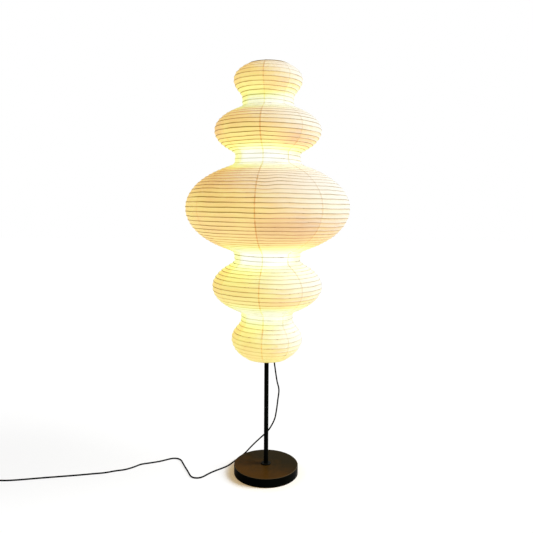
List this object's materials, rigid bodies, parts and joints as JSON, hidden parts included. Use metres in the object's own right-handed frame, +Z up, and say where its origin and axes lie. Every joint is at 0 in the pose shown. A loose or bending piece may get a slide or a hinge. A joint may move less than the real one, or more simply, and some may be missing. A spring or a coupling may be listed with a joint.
{
  "type": "paper lantern floor lamp",
  "caption": "Tall floor lamp: a bulging spiral-ribbed paper lantern stretched on a slim black pole over a weighted round foot, with bulbs inside and a mains cord with in-line switch.",
  "frame": {"origin": "centre of the round foot, on the floor", "axes": "+Z up along the pole, +X to the right and -Y towards the viewer of the picture"},
  "size_m": [1.5677, 0.6558, 1.637],
  "materials": {
    "satin_black": "satin powder coat",
    "cast_iron": "rough cast",
    "felt": "pressed felt",
    "plated_steel": "zinc plated",
    "brass": "turned",
    "paper": "long-fibre hand-made paper, lit from inside",
    "bamboo": "split, unvarnished",
    "black_plastic": "fine matt",
    "black_cord": "smooth sheath",
    "cap_aluminium": "rolled thread",
    "opal_glass": "frosted, lit"
  },
  "bodies": {
    "stand": {"base_pad": "felt", "base_weight": "cast_iron", "base_cover": "satin_black", "base_washer": "plated_steel", "base_nut": "plated_steel", "foot_flange": "satin_black", "pole_plug": "plated_steel", "pole_lower": "satin_black", "pole_middle": "satin_black", "pole_upper": "satin_black", "pole_joiners": "plated_steel", "top_plug": "plated_steel", "top_hanger": "plated_steel", "top_ring": "plated_steel", "bamboo_ribs": "bamboo", "clip_screws": "plated_steel", "holder_nipples": "brass", "nipple_nuts": "plated_steel", "socket_shells": "brass", "inner_leads": "black_cord", "lead_clips": "black_plastic", "cord_grip": "black_plastic", "cord": "black_cord", "cord_coil": "black_cord", "coil_tie": "black_plastic", "switch_bottom": "black_plastic", "switch_top": "black_plastic", "switch_screws": "plated_steel", "plug_body": "black_plastic", "plug_pins": "brass", "paper_panel_1": "paper", "paper_panel_2": "paper", "paper_panel_3": "paper", "paper_panel_4": "paper", "paper_panel_5": "paper", "paper_panel_6": "paper", "paper_panel_7": "paper", "paper_panel_8": "paper", "holder_clip_1": "plated_steel", "lampholder_1": "black_plastic", "holder_clip_2": "plated_steel", "lampholder_2": "black_plastic", "holder_clip_3": "plated_steel", "lampholder_3": "black_plastic", "holder_clip_4": "plated_steel", "lampholder_4": "black_plastic"},
    "lower_hanger": {"bottom_hanger": "plated_steel", "bottom_ring": "plated_steel"},
    "thumb_screw": {"thumb_screw": "brass"},
    "top_nut": {"top_nut": "brass"},
    "switch_rocker": {"switch_rocker": "black_plastic"},
    "bulb_1": {"bulb_cap_1": "cap_aluminium", "bulb_glass_1": "opal_glass"},
    "bulb_2": {"bulb_cap_2": "cap_aluminium", "bulb_glass_2": "opal_glass"},
    "bulb_3": {"bulb_cap_3": "cap_aluminium", "bulb_glass_3": "opal_glass"},
    "bulb_4": {"bulb_cap_4": "cap_aluminium", "bulb_glass_4": "opal_glass"}
  },
  "joints": [
    {"name": "lower_hanger_slide", "type": "slide", "parent": "stand", "child": "lower_hanger", "axis": [0, 0, 1], "range_m": [0, 0.06], "deforming": ["paper_panel_1", "paper_panel_2", "paper_panel_3", "paper_panel_4", "paper_panel_5", "paper_panel_6", "paper_panel_7", "paper_panel_8", "bamboo_ribs"]},
    {"name": "thumb_screw_turn", "type": "hinge", "parent": "lower_hanger", "child": "thumb_screw", "pos_m": [-0.01147, 0.01638, 0.484], "axis": [-0.5736, 0.8192, 0], "range_deg": [0, 270]},
    {"name": "top_nut_turn", "type": "hinge", "parent": "stand", "child": "top_nut", "pos_m": [0, 0, 1.627], "axis": [0, 0, 1], "range_deg": [0, 540]},
    {"name": "switch_rocker_tip", "type": "hinge", "parent": "stand", "child": "switch_rocker", "pos_m": [-1.108, -0.076, 0.0154], "axis": [0, 1, 0], "range_deg": [-14, 0]},
    {"name": "bulb_1_turn", "type": "hinge", "parent": "stand", "child": "bulb_1", "pos_m": [-0.036, 0, 0.625], "axis": [0, 0, -1], "range_deg": [0, 900]},
    {"name": "bulb_2_turn", "type": "hinge", "parent": "stand", "child": "bulb_2", "pos_m": [0.036, 0, 0.864], "axis": [0, 0, 1], "range_deg": [0, 900]},
    {"name": "bulb_3_turn", "type": "hinge", "parent": "stand", "child": "bulb_3", "pos_m": [-0.036, 0, 1.265], "axis": [0, 0, -1], "range_deg": [0, 900]},
    {"name": "bulb_4_turn", "type": "hinge", "parent": "stand", "child": "bulb_4", "pos_m": [0.036, 0, 1.489], "axis": [0, 0, 1], "range_deg": [0, 900]}
  ]
}
